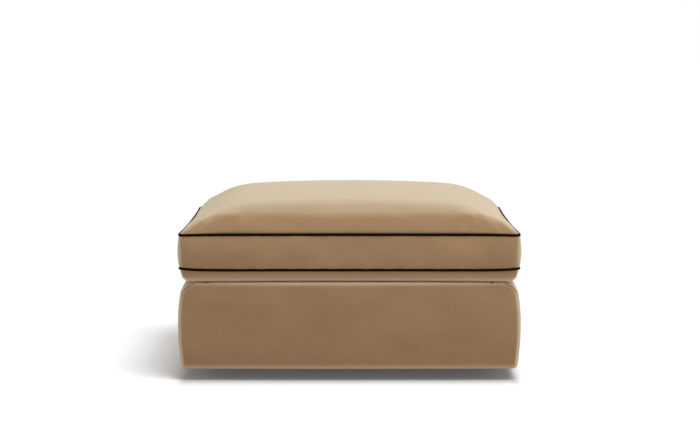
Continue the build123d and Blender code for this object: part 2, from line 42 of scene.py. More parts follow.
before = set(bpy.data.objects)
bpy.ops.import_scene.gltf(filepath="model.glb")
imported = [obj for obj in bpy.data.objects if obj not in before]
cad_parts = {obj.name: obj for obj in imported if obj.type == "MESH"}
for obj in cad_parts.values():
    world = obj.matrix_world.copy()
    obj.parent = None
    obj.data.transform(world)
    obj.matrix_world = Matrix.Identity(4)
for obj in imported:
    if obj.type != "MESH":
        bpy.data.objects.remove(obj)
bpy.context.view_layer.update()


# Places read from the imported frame, in metres


def whole_box(*nodes):
    """Lowest and highest corner of all the named nodes together."""
    lows, highs = zip(*(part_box(node) for node in nodes))
    low = Vector([min(corner[axis] for corner in lows) for axis in range(3)])
    high = Vector([max(corner[axis] for corner in highs) for axis in range(3)])
    return low, high


BASE_COVERS = ("front_cover", "rear_cover", "left_cover", "right_cover", "deck_cover")
BASE_LOW, BASE_HIGH = whole_box(*BASE_COVERS)
DECK_HIGH = whole_box("deck_cover")[1]
CROWN_TOP = whole_box("cushion_top_panel")[1].z
BELLY_BOTTOM = whole_box("cushion_bottom_panel")[0].z
DECK_SAG = 0.002  # the cushion's weight presses the deck down this much
BASE_HIGH.z -= DECK_SAG
BELLY_BOTTOM -= DECK_SAG
UPPER_SEAM = sum(corner.z for corner in whole_box("upper_welt")) / 2
LOWER_SEAM = sum(corner.z for corner in whole_box("lower_welt")) / 2
WELT_LOW, WELT_HIGH = whole_box("upper_welt")
ZIP_LOW, ZIP_HIGH = whole_box("rear_boxing_upper", "rear_boxing_lower")
ZIP_MIDDLE = (UPPER_SEAM + LOWER_SEAM) / 2
ZIP_WINDOW = (whole_box("rear_boxing_upper")[0].z - ZIP_MIDDLE) * 2
WELT_RADIUS = (WELT_HIGH.z - WELT_LOW.z) / 2
SEAM_X = WELT_HIGH.x - WELT_RADIUS
SEAM_Y = WELT_HIGH.y - WELT_RADIUS


# Sizes and colours that a user would change


class OttomanBaseSizes(bpy.types.PropertyGroup):
    shoulder_radius: FloatProperty(
        name="Shoulder radius",
        description="Roll of the long side edges at the top",
        default=0.031,
        unit="LENGTH",
    )
    end_roll_radius: FloatProperty(
        name="Front roll radius",
        description="Roll of the front and rear edges at the top",
        default=0.011,
        unit="LENGTH",
    )
    bottom_roll_radius: FloatProperty(
        name="Bottom roll radius",
        description="Roll of the edges at the hem",
        default=0.009,
        unit="LENGTH",
    )
    corner_radius: FloatProperty(
        name="Corner radius",
        description="Roll of the upright corners",
        default=0.018,
        unit="LENGTH",
    )
    side_tuck: FloatProperty(
        name="Side tuck",
        description="How far the sides lean in at the top",
        default=0.013,
        unit="LENGTH",
    )
    end_tuck: FloatProperty(
        name="Front tuck",
        description="How far the front and rear lean in at the top",
        default=0.007,
        unit="LENGTH",
    )
    hem_tuck_share: FloatProperty(
        name="Hem tuck share",
        description="Lean at the hem as a share of the lean at the top",
        default=0.65,
    )
    bow: FloatProperty(
        name="Bow",
        description="How far the walls bow out in the middle",
        default=0.0045,
        unit="LENGTH",
    )
    band_width: FloatProperty(
        name="Side band width",
        description="Width of the side band that shows from the front",
        default=0.0055,
        unit="LENGTH",
    )
    seam_turn: FloatProperty(
        name="Seam turn",
        description="Radius at which the corner seams turn in at the top",
        default=0.042,
        unit="LENGTH",
    )
    seam_width: FloatProperty(
        name="Seam width",
        description="Width of the groove that a seam presses in",
        default=0.0024,
        unit="LENGTH",
    )
    seam_depth: FloatProperty(
        name="Seam depth",
        description="Depth of the groove that a seam presses in",
        default=0.0018,
        unit="LENGTH",
    )
    pucker_depth: FloatProperty(
        name="Pucker depth",
        description="Depth of the small folds beside the corner seams",
        default=0.0016,
        unit="LENGTH",
    )
    # painted sheen: these two widths set how far the pale tan painted along the rolled top edges and
    # the hem reaches
    roll_sheen_width: FloatProperty(
        name="Turned pile width",
        description="Width of the pale pile along the rolled edges",
        default=0.006,
        unit="LENGTH",
    )
    hem_sheen_width: FloatProperty(
        name="Hem turn width",
        description="Width of the paler pile at the hem",
        default=0.009,
        unit="LENGTH",
    )
    turn_under: FloatProperty(
        name="Turn under",
        description="Width of the hem under the base",
        default=0.04,
        unit="LENGTH",
    )


class OttomanCushionSizes(bpy.types.PropertyGroup):
    crown_side_slope: FloatProperty(
        name="Crown side slope",
        description="Width of the crown's slope at the sides",
        default=0.134,
        unit="LENGTH",
    )
    crown_side_fullness: FloatProperty(
        name="Crown side fullness",
        description="1 is a straight slope, 2 a quarter of an ellipse",
        default=1.23,
    )
    crown_front_slope: FloatProperty(
        name="Crown front slope",
        description="Width of the crown's slope at the front and rear",
        default=0.118,
        unit="LENGTH",
    )
    crown_front_fullness: FloatProperty(
        name="Crown front fullness",
        description="1 is a straight slope, 2 a quarter of an ellipse",
        default=2.4,
    )
    crown_dome: FloatProperty(
        name="Crown dome",
        description="Rise of the middle above the shoulder",
        default=0.030,
        unit="LENGTH",
    )
    side_roll: FloatProperty(
        name="Side roll",
        description="Extra rise of the crown just inside the side seams",
        default=0.014,
        unit="LENGTH",
    )
    belly_slope: FloatProperty(
        name="Belly slope",
        description="Width of the slope round the underside",
        default=0.026,
        unit="LENGTH",
    )
    belly_fullness: FloatProperty(
        name="Belly fullness",
        description="1 is a straight slope, 2 a quarter of an ellipse",
        default=2.3,
    )
    corner_drop: FloatProperty(
        name="Corner drop",
        description="How far the upper seam dips at the corners",
        default=0.002,
        unit="LENGTH",
    )
    corner_lift: FloatProperty(
        name="Corner lift",
        description="How far the lower seam lifts at the corners",
        default=0.006,
        unit="LENGTH",
    )
    seam_tuck: FloatProperty(
        name="Seam tuck",
        description="Width of the cloth that curves in beside a piped seam",
        default=0.0045,
        unit="LENGTH",
    )
    seam_corner: FloatProperty(
        name="Seam corner",
        description="Corner radius of the piped seams",
        default=0.018,
        unit="LENGTH",
    )
    corner_reach: FloatProperty(
        name="Corner reach",
        description="How far the corners stand out sideways",
        default=0.003,
        unit="LENGTH",
    )
    draw: FloatProperty(
        name="Draw",
        description="How far the seams draw in between the corners",
        default=0.005,
        unit="LENGTH",
    )
    boxing_bulge: FloatProperty(
        name="Boxing bulge",
        description="How far the boxing stands out between the seams",
        default=0.006,
        unit="LENGTH",
    )
    pressure: FloatProperty(
        name="Pressure",
        description="Cloth pressure that plumps the cushion",
        default=4.0,
    )
    swell_limit: FloatProperty(
        name="Swell limit",
        description="Furthest that the simulation may move a point",
        default=0.006,
        unit="LENGTH",
    )
    welt_diameter: FloatProperty(
        name="Welt diameter",
        description="Thickness of the piping",
        default=0.0076,
        unit="LENGTH",
    )


class OttomanColours(bpy.types.PropertyGroup):
    velvet: FloatVectorProperty(
        name="Velvet",
        description="Tan of the pile seen straight on",
        subtype="COLOR",
        size=4,
        default=(0.249, 0.152, 0.081, 1),
    )
    velvet_dark: FloatVectorProperty(
        name="Velvet, brushed dark",
        description="Tan where the pile leans towards the eye",
        subtype="COLOR",
        size=4,
        default=(0.226, 0.137, 0.072, 1),
    )
    # painted sheen: the pale tan painted into the colour where a surface is seen at a glance
    glance: FloatVectorProperty(
        name="Velvet at a glance",
        description="Pale tan of the pile seen from the side",
        subtype="COLOR",
        size=4,
        default=(0.41, 0.34, 0.235, 1),
    )
    # painted sheen: the pale tan painted on the rolled edges, the upright rims and the belly
    painted_edge_sheen: FloatVectorProperty(
        name="Velvet, pile turned",
        description="Pale tan where a rolled edge turns the pile over",
        subtype="COLOR",
        size=4,
        default=(0.47, 0.325, 0.20, 1),
    )
    welt: FloatVectorProperty(
        name="Piping",
        description="Near-black cloth of the piping",
        subtype="COLOR",
        size=4,
        default=(0.006, 0.0035, 0.0015, 1),
    )


class OttomanStageSizes(bpy.types.PropertyGroup):
    lens: FloatProperty(
        name="Lens",
        description="Focal length",
        default=85.37,
        unit="CAMERA",
    )
    camera_side: FloatProperty(
        name="Camera side",
        description="Camera's place along X",
        default=0.0016,
        unit="LENGTH",
    )
    camera_front: FloatProperty(
        name="Camera front",
        description="Camera's place along Y",
        default=-4.716,
        unit="LENGTH",
    )
    camera_height: FloatProperty(
        name="Camera height",
        description="Camera's height over the floor",
        default=0.975,
        unit="LENGTH",
    )
    camera_pitch: FloatProperty(
        name="Camera pitch",
        description="How far the camera looks down",
        default=math.radians(7.0),
        unit="ROTATION",
    )


SETTINGS = (
    ("ottoman_base", OttomanBaseSizes),
    ("ottoman_cushion", OttomanCushionSizes),
    ("ottoman_colours", OttomanColours),
    ("ottoman_stage", OttomanStageSizes),
)


# Helpers for modelling by hand


def pick(*objects):
    bpy.ops.object.select_all(action="DESELECT")
    for obj in objects:
        obj.select_set(True)
    bpy.context.view_layer.objects.active = objects[0]


def spread(low, high, count, crowd):
    """Places between low and high, crowded towards both ends."""
    places = []
    for step in range(1, count):
        share = step / count
        eased = (1 - math.cos(math.pi * share)) / 2
        places.append(low + (high - low) * ((1 - crowd) * share + crowd * eased))
    return places


def start_selection(obj, kind):
    """Deselects all of a mesh, so that its faces, edges or points can be picked."""
    pick(obj)
    bpy.ops.object.mode_set(mode="EDIT")
    bpy.ops.mesh.select_mode(type=kind)
    bpy.ops.mesh.select_all(action="DESELECT")
    bpy.ops.object.mode_set(mode="OBJECT")


def edit_selection(operation, **options):
    """Runs one edit-mode operation on what is selected."""
    bpy.ops.object.mode_set(mode="EDIT")
    operation(**options)
    bpy.ops.object.mode_set(mode="OBJECT")


def grid_box(name, low, high, cuts):
    """A box cut into a grid at the given places along X, Y and Z."""
    bpy.ops.object.select_all(action="DESELECT")
    bpy.ops.mesh.primitive_cube_add(size=1, location=(low + high) / 2, scale=high - low)
    box = bpy.context.object
    box.name = box.data.name = name
    bpy.ops.object.transform_apply(location=True, rotation=True, scale=True)
    bpy.ops.object.mode_set(mode="EDIT")
    for axis, places in enumerate(cuts):
        normal = [float(axis == other) for other in range(3)]
        for place in places:
            bpy.ops.mesh.select_all(action="SELECT")
            bpy.ops.mesh.bisect(plane_co=[place * share for share in normal], plane_no=normal)
    bpy.ops.object.mode_set(mode="OBJECT")
    return box


def apply_modifiers(obj):
    pick(obj)
    for modifier in list(obj.modifiers):
        bpy.ops.object.modifier_apply(modifier=modifier.name)


def subdivide_smoothly(obj, levels):
    finish = obj.modifiers.new("Smooth", "SUBSURF")
    finish.levels = finish.render_levels = levels
    apply_modifiers(obj)


def shade_smooth(obj):
    pick(obj)
    bpy.ops.object.shade_smooth()


def bell(distance):
    """1 at a distance of 0, fading smoothly to nothing within about 2."""
    return math.exp(-(distance**2))


def clamp(value):
    return min(max(value, 0), 1)


def to_round_corner(across, along, half_across, half_along, radius):
    """Moves a point near the corner of a rectangle into a rounded corner."""
    over_across = (abs(across) - half_across + radius) / radius
    over_along = (abs(along) - half_along + radius) / radius
    if over_across <= 0 or over_along <= 0:
        return across, along
    round_across = over_across * math.sqrt(1 - over_along**2 / 2)
    round_along = over_along * math.sqrt(1 - over_across**2 / 2)
    return (
        math.copysign(half_across - radius + radius * round_across, across),
        math.copysign(half_along - radius + radius * round_along, along),
    )


# Materials


def new_material(name):
    material = bpy.data.materials.new(name)
    material.use_nodes = True
    nodes = material.node_tree.nodes
    nodes.clear()
    output = nodes.new("ShaderNodeOutputMaterial")
    shader = nodes.new("ShaderNodeBsdfPrincipled")
    material.node_tree.links.new(shader.outputs[0], output.inputs["Surface"])
    return material, shader


def noise(material, scale, detail, stretch=(1, 1, 1)):
    """Noise on the object's own coordinates."""
    nodes, links = material.node_tree.nodes, material.node_tree.links
    place = nodes.new("ShaderNodeTexCoord")
    mapping = nodes.new("ShaderNodeMapping")
    mapping.inputs["Scale"].default_value = stretch
    texture = nodes.new("ShaderNodeTexNoise")
    texture.inputs["Scale"].default_value = scale
    texture.inputs["Detail"].default_value = detail
    links.new(place.outputs["Object"], mapping.inputs["Vector"])
    links.new(mapping.outputs["Vector"], texture.inputs["Vector"])
    return texture.outputs["Fac"]


def ramp(material, value, low, high, colours):
    """Colours that change with a value between two positions."""
    nodes, links = material.node_tree.nodes, material.node_tree.links
    node = nodes.new("ShaderNodeValToRGB")
    node.color_ramp.elements[0].position = low
    node.color_ramp.elements[1].position = high
    node.color_ramp.elements[0].color = colours[0]
    node.color_ramp.elements[1].color = colours[1]
    links.new(value, node.inputs["Fac"])
    return node.outputs["Color"]


def mix_colours(material, factor, first, second, mode="MIX"):
    nodes, links = material.node_tree.nodes, material.node_tree.links
    node = nodes.new("ShaderNodeMix")
    node.data_type = "RGBA"
    node.blend_type = mode
    if isinstance(factor, float):
        node.inputs["Factor"].default_value = factor
    else:
        links.new(factor, node.inputs["Factor"])
    for socket, colour in ((node.inputs[6], first), (node.inputs[7], second)):
        if isinstance(colour, bpy.types.NodeSocket):
            links.new(colour, socket)
        else:
            socket.default_value = colour
    return node.outputs[2]


def add_bump(material, shader, height, strength, distance):
    nodes, links = material.node_tree.nodes, material.node_tree.links
    bump = nodes.new("ShaderNodeBump")
    bump.inputs["Strength"].default_value = strength
    bump.inputs["Distance"].default_value = distance
    links.new(height, bump.inputs["Height"])
    if shader.inputs["Normal"].links:
        links.new(shader.inputs["Normal"].links[0].from_socket, bump.inputs["Normal"])
    links.new(bump.outputs["Normal"], shader.inputs["Normal"])


BLACK = (0, 0, 0, 1)
WHITE = (1, 1, 1, 1)
FLECK_DARK = (0.86, 0.86, 0.86, 1)
# the seam lines' dark colour: the seam's own joint, with painted shade of its groove
SEAM_LINE = (0.045, 0.022, 0.010, 1)
SHEEN_TINT = (1.0, 0.88, 0.7, 1)


def attribute(material, name):
    """A value painted on the points of the mesh."""
    node = material.node_tree.nodes.new("ShaderNodeAttribute")
    node.attribute_name = name
    return node.outputs["Fac"]


def velvet(name, depth, seam_lines):
    """Short dense pile: matt tan straight on, with a pale sheen painted into the colour at a glance,
    and painted sheen on its rolled edges.
    """
    colours = bpy.context.scene.ottoman_colours
    material, shader = new_material(name)
    nodes, links = material.node_tree.nodes, material.node_tree.links
    brushed = noise(material, scale=7.0, detail=3.0, stretch=(1, 1, 1.8))
    # depth below 1 paints the same cloth darker, as painted shade
    tones = [
        [channel * depth for channel in tone[:3]] + [1]
        for tone in (colours.velvet_dark, colours.velvet)
    ]
    tan = ramp(material, brushed, low=0.36, high=0.66, colours=tones)
    flecks = noise(material, scale=420.0, detail=2.0)
    fleck = ramp(material, flecks, low=0.3, high=0.75, colours=(FLECK_DARK, WHITE))
    # painted sheen: Layer Weight mixes the colour towards the pale glance tan where a surface is seen
    # at a glance
    glance = nodes.new("ShaderNodeLayerWeight")
    glance.inputs["Blend"].default_value = 0.5
    sheen = ramp(material, glance.outputs["Facing"], low=0.13, high=0.62, colours=(BLACK, WHITE))
    tan = mix_colours(material, sheen, tan, tuple(colours.glance))
    # painted sheen on the rolled edges, the upright rims and the belly, where the edge sheen mask is
    # set
    tan = mix_colours(material, attribute(material, "edge_sheen_mask"), tan, tuple(colours.painted_edge_sheen))
    tan = mix_colours(material, 1.0, tan, fleck, "MULTIPLY")
    # dark seam lines: the joints, with painted shade of their grooves
    if seam_lines:
        tan = mix_colours(material, attribute(material, "seam_shade"), tan, SEAM_LINE)
    links.new(tan, shader.inputs["Base Color"])
    shader.inputs["Roughness"].default_value = 0.92
    shader.inputs["Specular IOR Level"].default_value = 0.12
    shader.inputs["Sheen Weight"].default_value = 0.3
    shader.inputs["Sheen Roughness"].default_value = 0.3
    shader.inputs["Sheen Tint"].default_value = SHEEN_TINT
    hollows = noise(material, scale=26.0, detail=3.0)
    add_bump(material, shader, hollows, strength=0.35, distance=0.004)
    pile = noise(material, scale=900.0, detail=2.0)
    add_bump(material, shader, pile, strength=0.25, distance=0.0006)
    return material


GRAIN_SHADE = 0.7
GRAIN_DEPTH = 0.001


def plain(
    name, colour, roughness, metallic=0.0, grain=120.0, grain_stretch=(1, 1, 1), bump=0.1, gloss=0.5
):
    """A finish with a little grain in its colour and its surface."""
    material, shader = new_material(name)
    texture = noise(material, scale=grain, detail=4.0, stretch=grain_stretch)
    dark = tuple(value * GRAIN_SHADE for value in colour[:3]) + (1,)
    light = tuple(colour[:3]) + (1,)
    tone = ramp(material, texture, low=0.3, high=0.7, colours=(dark, light))
    material.node_tree.links.new(tone, shader.inputs["Base Color"])
    shader.inputs["Roughness"].default_value = roughness
    shader.inputs["Metallic"].default_value = metallic
    shader.inputs["Specular IOR Level"].default_value = gloss
    add_bump(material, shader, texture, strength=bump, distance=GRAIN_DEPTH)
    return material


def dress(material, *nodes):
    """Gives CAD nodes a material in place of their own."""
    for name in nodes:
        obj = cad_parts[name]
        obj.data.materials.clear()
        obj.data.materials.append(material)


# Upholstered base

FRONT, REAR, LEFT, RIGHT, DECK = range(5)
BASE_MIDDLE = (BASE_LOW + BASE_HIGH) / 2
BASE_HALF = (BASE_HIGH - BASE_LOW) / 2
DECK_X = DECK_HIGH.x - 0.008
DECK_Y = DECK_HIGH.y
CLOTH_THICKNESS = 0.0015

END_STRIP = 0.024  # depth of the strips at the front and rear where the corner seams run
SEAM_TURN_SHARES = (0.75, 0.97)  # how much of the turn's radius is used across and up
SEAM_SNAP = 0.0006  # a point this near a seam is moved onto it
REFINED_REACHES = (0.012, 0.005)  # the mesh is made finer within each of these of a seam
LINE_SHARE = 0.45  # width of a seam's dark line as a share of its groove's
LINE_FAINT = 0.1  # the line's strength down the wall, where it hardly shows
PRESS_FAINT = 0.35  # the groove's depth down the wall
UPPER_REACH = 0.03  # how far down from the top a seam shows in full
RIM_REACH = 0.015  # how far round the corner the painted sheen beside a corner seam reaches
RIM_INWARD = 0.004
RIM_PAINTED_SHEEN = 0.6
TOP_PAINTED_SHEEN = 0.9
TOP_INSET = 0.018  # the painted sheen lies on the roll, and no further in than this
TOP_FADE = 0.008
PUCKER_REACH = 0.013
PUCKER_DROP = 0.036
PUCKER_SLANT = 0.55
PUCKER_PITCH = 0.0115
PUCKER_START = 1.3  # sets the folds of the two sides out of step


def base_lean(height, sizes):
    """Share of the side tuck at a height measured from the middle of the base."""
    return (height / BASE_HALF.z) ** 2 * (1 if height > 0 else sizes.hem_tuck_share)


def base_point(point, sizes):
    """Where a point of the plain box goes on the padded base."""
    x, y, z = point - BASE_MIDDLE
    side_roll = sizes.shoulder_radius if z > 0 else sizes.bottom_roll_radius
    end_roll = sizes.end_roll_radius if z > 0 else sizes.bottom_roll_radius
    x, z = to_round_corner(x, z, BASE_HALF.x, BASE_HALF.z, side_roll)
    y, z = to_round_corner(y, z, BASE_HALF.y, BASE_HALF.z, end_roll)
    x, y = to_round_corner(x, y, BASE_HALF.x, BASE_HALF.y, sizes.corner_radius)
    lean = base_lean(z, sizes)
    out_x, out_y = x / BASE_HALF.x, y / BASE_HALF.y
    x -= out_x * (sizes.side_tuck * lean + sizes.bow * out_y**2)
    y -= out_y * (sizes.end_tuck * lean + sizes.bow * out_x**2)
    return BASE_MIDDLE + Vector((x, y, z))


def corner_seam(point, sizes):
    """How far outside the seam of a front or rear panel a point of the base lies."""
    height = point.z - BASE_MIDDLE.z
    side = abs(point.x)
    reach = BASE_HALF.x - sizes.side_tuck * base_lean(height, sizes) - sizes.bow
    reach -= sizes.band_width
    across_share, up_share = SEAM_TURN_SHARES
    turn_end = reach - across_share * sizes.seam_turn
    if point.z > BASE_HIGH.z - 0.002:
        back = (BASE_HALF.y - abs(point.y)) / (BASE_HALF.y - DECK_Y)
        return side - turn_end + (turn_end - DECK_X) * clamp(back)
    turn_start = BASE_HALF.z - up_share * sizes.seam_turn
    if height > turn_start:
        centre = reach - sizes.seam_turn
        across = max(side - centre, 0)
        return math.hypot(across, height - turn_start) - sizes.seam_turn
    return side - reach


class OTTOMAN_OT_upholster_base(bpy.types.Operator):
    """Pads the base and covers it in velvet panels sewn at the corners and the deck"""

    bl_idname = "ottoman.upholster_base"
    bl_label = "Upholster the base"

    def execute(self, context):
        sizes = context.scene.ottoman_base
        hem = Vector((sizes.turn_under, sizes.turn_under, 0))
        inner = BASE_HALF - hem
        cuts = (
            spread(BASE_LOW.x, BASE_HIGH.x, 54, 0.86) + [-inner.x, inner.x, -DECK_X, DECK_X],
            spread(BASE_LOW.y, BASE_HIGH.y, 40, 0.86) + [-inner.y, inner.y, -DECK_Y, DECK_Y],
            spread(BASE_LOW.z, BASE_HIGH.z, 22, 0.75),
        )
        base = grid_box("base_upholstery", BASE_LOW, BASE_HIGH, cuts)
        self.open_underside(base, inner)
        for vertex in base.data.vertices:
            vertex.co = base_point(vertex.co, sizes)
        subdivide_smoothly(base, 1)
        self.refine_seams(base, sizes)
        self.sew(base, sizes)
        shade_smooth(base)
        self.part_panels(base, sizes)
        return {"FINISHED"}

    def open_underside(self, base, inner):
        """Leaves the underside open inside the turned-under hem."""
        start_selection(base, "FACE")
        for face in base.data.polygons:
            inside = abs(face.center.x) < inner.x and abs(face.center.y) < inner.y
            face.select = face.normal.z < -0.9 and inside
        edit_selection(bpy.ops.mesh.delete, type="FACE")

    def refine_seams(self, base, sizes):
        """Makes the mesh finer beside the corner seams."""
        for reach in REFINED_REACHES:
            start_selection(base, "FACE")
            for face in base.data.polygons:
                near_end = abs(face.center.y) > BASE_HALF.y - END_STRIP
                on_side = face.center.z > BASE_LOW.z + 0.003
                near_seam = abs(corner_seam(face.center, sizes)) < reach
                face.select = near_end and on_side and near_seam
            edit_selection(bpy.ops.mesh.subdivide, number_cuts=1)

    def sew(self, base, sizes):
        """Presses the seams in and puckers the cloth beside the upper corners."""
        shade = base.data.attributes.new("seam_shade", "FLOAT", "POINT")
        turn = base.data.attributes.new("edge_sheen_mask", "FLOAT", "POINT")
        normals = [vertex.normal.copy() for vertex in base.data.vertices]
        for number, vertex in enumerate(base.data.vertices):
            point = vertex.co - BASE_MIDDLE
            normal = normals[number]
            press, line = 0.0, 0.0
            # painted sheen on the rolled top and hem, and on the rims beside the corner seams
            pale = self.painted_roll_sheen(point, sizes)
            if abs(point.y) > BASE_HALF.y - END_STRIP and point.z > -BASE_HALF.z + 0.002:
                distance = corner_seam(vertex.co, sizes)
                if abs(distance) < SEAM_SNAP and normal.z < 0.7:
                    vertex.co.x -= math.copysign(distance, vertex.co.x)
                press, line, rim = self.corner_press(point, distance, sizes)
                pale = max(pale, rim)
            elif normal.z > 0.9:
                press, line = self.deck_press(point, sizes)
            shade.data[number].value = line
            turn.data[number].value = pale
            vertex.co -= normal * press

    def painted_roll_sheen(self, point, sizes):
        """Strength of the painted sheen on the rolls at the hem and the top."""
        to_edge = BASE_HALF.z - abs(point.z)
        if point.z < 0:
            return bell(to_edge / sizes.hem_sheen_width)
        inset = min(BASE_HALF.x - abs(point.x), BASE_HALF.y - abs(point.y))
        return TOP_PAINTED_SHEEN * bell(to_edge / sizes.roll_sheen_width) * bell(max(inset - TOP_INSET, 0) / TOP_FADE)

    def corner_press(self, point, distance, sizes):
        """Depth, dark line and painted sheen rim beside a corner seam; the dark line is the seam's
        joint with painted shade in its groove.
        """
        below = BASE_HALF.z - point.z
        width = sizes.seam_width
        upper = bell(below / UPPER_REACH) if point.z > 0 else 0
        line = bell(distance / (LINE_SHARE * width)) * (LINE_FAINT + (1 - LINE_FAINT) * upper)
        press = sizes.seam_depth * bell(distance / width)
        press *= PRESS_FAINT + (1 - PRESS_FAINT) * upper
        from_end = (BASE_HALF.y - abs(point.y)) / RIM_REACH
        inward = max(-distance, 0) / RIM_INWARD
        rim = RIM_PAINTED_SHEEN * bell(inward) * bell(from_end)
        fade = math.exp(-abs(distance) / PUCKER_REACH) * bell(below / PUCKER_DROP)
        along = below - PUCKER_SLANT * (BASE_HALF.x - abs(point.x))
        turns = along * 2 * math.pi / PUCKER_PITCH + PUCKER_START * math.copysign(1, point.x)
        press += sizes.pucker_depth * fade * (0.5 + 0.5 * math.sin(turns))
        return press, line, rim

    def deck_press(self, point, sizes):
        """Depth and dark line beside the seam round the deck."""
        edge_x = abs(abs(point.x) - DECK_X)
        edge_y = abs(abs(point.y) - DECK_Y)
        inside_x = abs(point.x) < DECK_X + 0.002
        inside_y = abs(point.y) < DECK_Y + 0.002
        gap = min(edge_x if inside_y else 1.0, edge_y if inside_x else 1.0)
        width = sizes.seam_width
        return sizes.seam_depth * bell(gap / (2 * width)), bell(gap / (LINE_SHARE * width))

    def panel_of(self, face, sizes):
        """The sewn panel that a face of the padded shell belongs to."""
        x, y = face.center.x, face.center.y
        if face.normal.z > 0.9 and abs(x) < DECK_X and abs(y) < DECK_Y:
            return DECK
        if abs(y) > DECK_Y and corner_seam(face.center, sizes) < 0:
            return FRONT if y < 0 else REAR
        return LEFT if x < 0 else RIGHT

    def part_panels(self, base, sizes):
        """Parts the padded shell into its sewn panels."""
        for _ in (FRONT, REAR, LEFT, RIGHT, DECK):
            base.data.materials.append(None)
        for face in base.data.polygons:
            face.material_index = self.panel_of(face, sizes)
        # painted shade: the base's velvet is the cushion's cloth painted 8% darker
        cloth = velvet("base_velvet", 0.92, True)
        panels = (
            (REAR, "rear_panel", ("rear_cover", "rear_padding")),
            (LEFT, "left_band", ("left_cover", "left_padding")),
            (RIGHT, "right_band", ("right_cover", "right_padding")),
            (DECK, "deck_panel", ("deck_cover", "deck_foam")),
            (FRONT, "front_panel", ("front_cover", "front_padding")),
        )
        for number, name, nodes in panels:
            panel = base if number == FRONT else part_off(base, number)
            finish_panel(panel, name, cloth)
            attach(panel, "base")
            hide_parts(*nodes)


def select_slot(shell, number):
    """Selects the faces of one material slot and stays in edit mode."""
    start_selection(shell, "FACE")
    bpy.ops.object.mode_set(mode="EDIT")
    shell.active_material_index = number
    bpy.ops.object.material_slot_select()


def part_selection(shell):
    """Parts what is selected off a shell in edit mode, and gives back the new piece."""
    bpy.ops.mesh.separate(type="SELECTED")
    bpy.ops.object.mode_set(mode="OBJECT")
    return next(obj for obj in bpy.context.selected_objects if obj != shell)


def part_off(shell, number):
    """Parts the faces of one material slot off a shell."""
    select_slot(shell, number)
    return part_selection(shell)


def finish_panel(panel, name, cloth):
    """Gives a parted panel its name, its cloth and the cloth's thickness."""
    panel.name = panel.data.name = name
    panel.data.materials.clear()
    panel.data.materials.append(cloth)
    wall = panel.modifiers.new("Cloth", "SOLIDIFY")
    wall.thickness = CLOTH_THICKNESS
    wall.offset = -1
    apply_modifiers(panel)


# Loose cushion

TOP, BOXING, BOTTOM, ZIP_UPPER, ZIP_LOWER, ZIP_GAP = range(6)

ON_SEAM = 1e-5  # a point this near a seam's height or edge lies on it
CORNER_FADE = 0.03  # how far the shaping of the corners reaches
ROLL_START = 0.01  # the side roll rises over this width beside the seam
ROLL_FADE = 0.03  # and fades over this one
BOXING_ROWS = (0.022, 0.036)  # rows of points above and below the zip
SIMULATED_FRAMES = 20
CREASED_BELOW = 0.002  # points further than this under the lower seam keep their place
CROWN_EDGE_SHARE = 0.3  # share of the crown's slope beside the seam that isn't softened
CROWN_SOFTENING = 24
BOXING_SOFTENING = 5
BOXING_MARGIN = 0.01
# painted sheen on the belly as it curves under the cushion
BELLY_PAINTED_SHEEN = 0.6
RESTING_START = 0.93  # share of the belly's depth from which it lies on the deck
RESTING_WIDTH = 0.06


def swell(share, fullness):
    """Rise of a swelling from its seam (0) to its full height (1)."""
    left = 1 - clamp(share)
    return (1 - left**fullness) ** (1 / fullness)


def cushion_point(point, sizes):
    """Where a point of the plain box goes on the plump cushion."""
    x, y = to_round_corner(point.x, point.y, SEAM_X, SEAM_Y, sizes.seam_corner)
    out_x, out_y = x / SEAM_X, y / SEAM_Y
    side, end = SEAM_X - abs(point.x), SEAM_Y - abs(point.y)
    z = point.z
    corner = math.exp(-(SEAM_X - abs(x) + SEAM_Y - abs(y)) / CORNER_FADE)
    if z > UPPER_SEAM - ON_SEAM:
        across = swell(side / sizes.crown_side_slope, sizes.crown_side_fullness)
        along = swell(end / sizes.crown_front_slope, sizes.crown_front_fullness)
        shoulder = CROWN_TOP - UPPER_SEAM - sizes.crown_dome - sizes.swell_limit
        z += shoulder * across * along
        z += sizes.crown_dome * (1 - out_x**2) * (1 - out_y**2)
        roll = (1 - math.exp(-side / ROLL_START)) * math.exp(-side / ROLL_FADE)
        z += sizes.side_roll * roll * along
        z -= sizes.corner_drop * corner
    elif z < LOWER_SEAM + ON_SEAM:
        across = swell(side / sizes.belly_slope, sizes.belly_fullness)
        along = swell(end / sizes.belly_slope, sizes.belly_fullness)
        z -= (LOWER_SEAM - BELLY_BOTTOM) * across * along
        z += sizes.corner_lift * corner * (1 - across * along)
    else:
        level = (z - ZIP_MIDDLE) / (UPPER_SEAM - ZIP_MIDDLE)
        radius = sizes.seam_corner
        over_x = max(abs(x) - SEAM_X + radius, 0)
        over_y = max(abs(y) - SEAM_Y + radius, 0)
        over = math.hypot(over_x, over_y)
        bulge = sizes.boxing_bulge * (1 - level**4)
        x += math.copysign(bulge * over_x / over, x)
        y += math.copysign(bulge * over_y / over, y)
        z -= corner * (sizes.corner_drop * max(level, 0) + sizes.corner_lift * min(level, 0))
    x += math.copysign(sizes.corner_reach * corner, x)
    x -= sizes.draw * (1 - out_y**2) * out_x
    y += sizes.draw * (1 - out_x**2) * max(-out_y, 0)
    return Vector((x, y, z))


def cushion_panel(face):
    """The panel that a face of the plain box belongs to."""
    if abs(face.normal.z) > 0.9:
        return TOP if face.normal.z > 0 else BOTTOM
    if face.normal.y > 0.9 and abs(face.center.x) < ZIP_HIGH.x:
        height = face.center.z - ZIP_MIDDLE
        if abs(height) < ZIP_WINDOW / 2:
            return ZIP_GAP
        return ZIP_UPPER if height > 0 else ZIP_LOWER
    return BOXING


